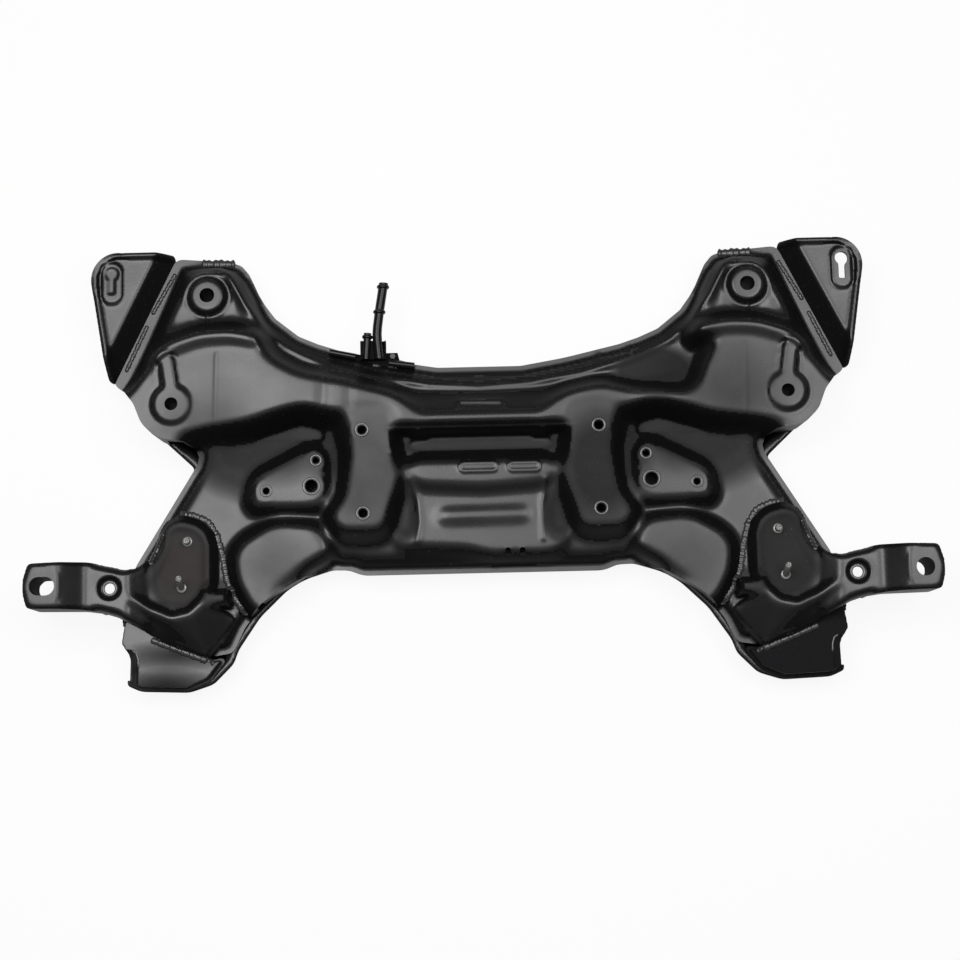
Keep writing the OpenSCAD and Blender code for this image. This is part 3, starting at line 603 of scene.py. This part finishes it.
def threaded_stud(bm, x, y, lift, length, lean, foot_height):
    """A stud turned round its axis, from its foot at [x, y] on the stud plate, in metres."""
    turns = int((length - 3 * MM) / THREAD_PITCH)
    line = [(0, 0), (STUD_RADIUS, 0)]
    for k in range(turns):
        line.append((THREAD_ROOT, (k + 0.5) * THREAD_PITCH))
        line.append((STUD_RADIUS, (k + 1) * THREAD_PITCH))
    line += [(STUD_RADIUS * 0.78, length), (STUD_RADIUS * 0.5, length),
             (STUD_RADIUS * 0.4, length - POINT_DEPTH), (0, length - POINT_DEPTH)]
    foot = [(0, 0), (STUD_RADIUS + 2 * MM, 0), (STUD_RADIUS + 1.6 * MM, foot_height - 0.4 * MM),
            (STUD_RADIUS + 1.2 * MM, foot_height), (0, foot_height)]
    stand = Matrix.Translation((x, y, STUD_FOOT))
    for profile, place in (
            (foot, stand),
            (line, stand @ Matrix.Translation((0, 0, lift)) @ Matrix.Rotation(-lean, 4, "X"))):
        shape = bmesh.new()
        rim = [shape.verts.new((r, 0, z)) for r, z in profile]
        edges = [shape.edges.new(pair) for pair in zip(rim, rim[1:])]
        bmesh.ops.spin(
            shape, geom=rim + edges, cent=(0, 0, 0), axis=(0, 0, 1), angle=2 * math.pi, steps=STUD_STEPS,
            use_merge=True)
        bmesh.ops.remove_doubles(shape, verts=shape.verts, dist=MERGE)
        bmesh.ops.recalc_face_normals(shape, faces=shape.faces)
        bmesh.ops.transform(shape, matrix=place, verts=shape.verts)
        turned = mesh_from(shape, "turned")
        bm.from_mesh(turned)
        bpy.data.meshes.remove(turned)


for side, way in SIDES:
    bm = bmesh.new()
    threaded_stud(bm, way * 312 * MM, -126 * MM, 1.5 * MM, 24 * MM, math.radians(20), 3 * MM)
    threaded_stud(bm, way * 306 * MM, -78 * MM, 0, 10 * MM, 0, 2 * MM)
    studs = mesh_from(bm, f"{side}_studs")
    finished(f"threaded_{side}_studs", studs, stud_plating, "steel", f"{side}_studs")


# Hose pipes. Two steel pipes on a saddle that is welded to the rear flange, with two short
# tubes beside them; all of it is dipped with the frame.
pipe_coat = dip_coat("pipe_coat", (0.005, 0.005, 0.005), 0.2, specular=0.25)
recoated(pipe_coat, "short_pipe", "flange_tubes")
# The saddle takes the shaded coat, painted shade.
recoated(shaded_coat, "pipe_bracket")
PIPE_BEND = [(114, 0), (123, -1.4), (132, -3), (140, -3.9), (147, -3.9), (163, -2.9), (195, 0)]
BEND_STEP = 2
bm = bmesh.new()
bm.from_mesh(nodes["long_pipe"].data)
for y in range(PIPE_BEND[0][0], PIPE_BEND[-1][0] + 1, BEND_STEP):
    bmesh.ops.bisect_plane(
        bm, geom=bm.verts[:] + bm.edges[:] + bm.faces[:], plane_co=(0, y * MM, 0), plane_no=(0, 1, 0))
for v in bm.verts:
    v.co.x += MM * np.interp(v.co.y / MM, [y for y, _ in PIPE_BEND], [x for _, x in PIPE_BEND])
finished("bent_long_pipe", mesh_from(bm, "long_pipe"), pipe_coat, "coat", "long_pipe")


# Welds. Gas-shielded beads that join the stampings, laid by hand and dipped with the rest:
# rows of overlapping scales that catch the light.
weld_coat = dip_coat("weld_coat", (0.03, 0.03, 0.03), 0.2)
BEAD_STEP = 0.9
BEAD_SIDES = 10
BEAD_EASE, BEAD_EASE_SPREAD = 6, 2.5
sheets = [piece for piece in scene.objects if piece.name.startswith(("pressed_", "stamped_"))]
seats = [
    BVHTree.FromPolygons(
        [v.co for v in piece.data.vertices], [tuple(p.vertices) for p in piece.data.polygons])
    for piece in sheets
]


def seat(x, y):
    """Height of the highest sheet at [x, y], in metres."""
    hits = [tree.ray_cast((x, y, 3 * CLEAR), (0, 0, -1))[0] for tree in seats]
    return max((hit.z for hit in hits if hit), default=SHEET)


def weld_bead(bm, path, wide, high, scale=4.3, swell=0.12):
    """A bead along a path of [x, y] corners in millimetres, on whatever sheet lies under it."""
    corners = [Vector((x * MM, y * MM)) for x, y in path]
    spots = []
    for a, b in zip(corners, corners[1:]):
        count = max(1, round((b - a).length / (BEAD_STEP * MM)))
        spots += [a.lerp(b, k / count) for k in range(count)]
    spots.append(corners[-1])
    heights = np.array([seat(p.x, p.y) for p in spots])
    steps = np.arange(-BEAD_EASE, BEAD_EASE + 1)
    spread = np.exp(-0.5 * (steps / BEAD_EASE_SPREAD) ** 2)
    heights = np.pad(heights, BEAD_EASE, mode="edge")
    heights = np.convolve(heights, spread / spread.sum(), "valid")
    ring, last = None, None
    for k, (p, z) in enumerate(zip(spots, heights)):
        ahead = (spots[min(k + 2, len(spots) - 1)] - spots[max(k - 2, 0)]).normalized()
        along = 2 * math.pi * k * BEAD_STEP / scale
        grown = 1 + swell * (math.sin(along) + 0.8 * math.sin(0.37 * along + 1))
        grown *= min(1, 0.45 + 0.25 * min(k, len(spots) - 1 - k))
        turn = Matrix(((ahead.y, 0, ahead.x), (-ahead.x, 0, ahead.y), (0, 1, 0))).to_4x4()
        size = Matrix.Diagonal((0.5 * wide * MM * grown, high * MM * grown, 1, 1))
        here = Matrix.Translation((p.x, p.y, z)) @ turn @ size
        if ring is None:
            made = bmesh.ops.create_circle(
                bm, segments=BEAD_SIDES, radius=1, cap_ends=True, matrix=here)
            ring = list(dict.fromkeys(e for v in made["verts"] for e in v.link_edges))
        else:
            grown_ring = bmesh.ops.extrude_edge_only(bm, edges=ring)["geom"]
            ring = [g for g in grown_ring if isinstance(g, bmesh.types.BMEdge)]
            points = [g for g in grown_ring if isinstance(g, bmesh.types.BMVert)]
            bmesh.ops.transform(bm, matrix=here @ last.inverted(), verts=points)
        last = here
    bmesh.ops.contextual_create(bm, geom=ring)


OUTRIGGER_SEAM = [
    (316, -47), (300, -50), (287, -56), (278, -70), (272, -92), (267, -118), (258, -138), (246, -154),
]
WELDS = {
    "outrigger_seam": [(OUTRIGGER_SEAM, 8, 1.9)],
    "outrigger_patch": [([(331, -69), (338, -84), (345, -101)], 7, 1.8)],
    "pocket_seam": [([(346, -178), (281, -204)], 7, 2)],
    "strip_seam": [([(322, 213), (347, 169)], 4.5, 1.7), ([(352, 157), (375, 107)], 4.5, 1.7)],
    "gather": [([(294, 223), (258, 222)], 9, 2.4, 6.5, 0.14)],
}
for side, way in SIDES:
    for weld, runs in WELDS.items():
        bm = bmesh.new()
        for path, *sizes in runs:
            weld_bead(bm, [(way * x, y) for x, y in path], *sizes)
        bmesh.ops.recalc_face_normals(bm, faces=bm.faces)
        finished(f"weld_{side}_{weld}", mesh_from(bm, weld), weld_coat, "coat")


# Pipe welds. Two short lumps of weld metal that hold the pipe saddle on the rear flange,
# laid over the seam and dipped with the rest.
bm = bmesh.new()
weld_bead(bm, [(-113, 107.5), (-104, 106.5)], 5, 2.2)
weld_bead(bm, [(-97, 107), (-86, 105.5)], 5, 2.4)
bmesh.ops.recalc_face_normals(bm, faces=bm.faces)
finished("weld_pipe_bracket", mesh_from(bm, "pipe_weld"), weld_coat, "coat")


# Hole rims. The punch leaves a low turned edge round each bolt hole and along the notch of each
# pocket cap; its coat is paler and glossier than the rest, a painted highlight, so that every hole shows a
# pale ring.
rim_highlight_coat = dip_coat("rim_highlight_coat", (0.05, 0.05, 0.048), 0.24, specular=0.8)
RIMS = {
    "rack": [(123, 33, 5.3), (123, -54, 5.3)],
    "stabiliser": [(177, -23, 7.3), (224, -27, 4.3), (172, 4, 4.3)],
    "middle_pad": [(384, -126, 5.8)],
}
RIM_STEPS = 40
RIM_LINE = [(0, -0.6), (0, 0.3), (0.3, 0.6), (1.7, 0.6), (2.3, 0.1), (2.3, -0.6)]


def turned_rim(bm, x, y, radius):
    """A low ring round the hole at [x, y], in millimetres, on whatever sheet lies under it."""
    around = [math.radians(45 * k) for k in range(8)]
    reach = radius + 2
    round_it = [(x + reach * math.cos(a), y + reach * math.sin(a)) for a in around]
    z = sorted(seat(px * MM, py * MM) for px, py in round_it)[4]
    rim = [bm.verts.new(((x + radius + r) * MM, y * MM, z + h * MM)) for r, h in RIM_LINE]
    edges = [bm.edges.new(pair) for pair in zip(rim, rim[1:] + rim[:1])]
    bmesh.ops.spin(
        bm, geom=rim + edges, cent=(x * MM, y * MM, 0), axis=(0, 0, 1), angle=2 * math.pi, steps=RIM_STEPS,
        use_merge=True)


for side, way in SIDES:
    for rim_name, holes in RIMS.items():
        bm = bmesh.new()
        for x, y, radius in holes:
            turned_rim(bm, way * x, y, radius)
        bmesh.ops.remove_doubles(bm, verts=bm.verts, dist=MERGE)
        bmesh.ops.recalc_face_normals(bm, faces=bm.faces)
        finished(f"rim_{side}_{rim_name}", mesh_from(bm, rim_name), rim_highlight_coat, "coat")
    bm = bmesh.new()
    weld_bead(bm, [(way * x, y) for x, y in POCKET_NOTCH[1:-1]], 2.2, 0.9, swell=0)
    bmesh.ops.recalc_face_normals(bm, faces=bm.faces)
    lip = mesh_from(bm, "pocket_notch")
    finished(f"rim_{side}_pocket_notch", lip, rim_highlight_coat, "coat")
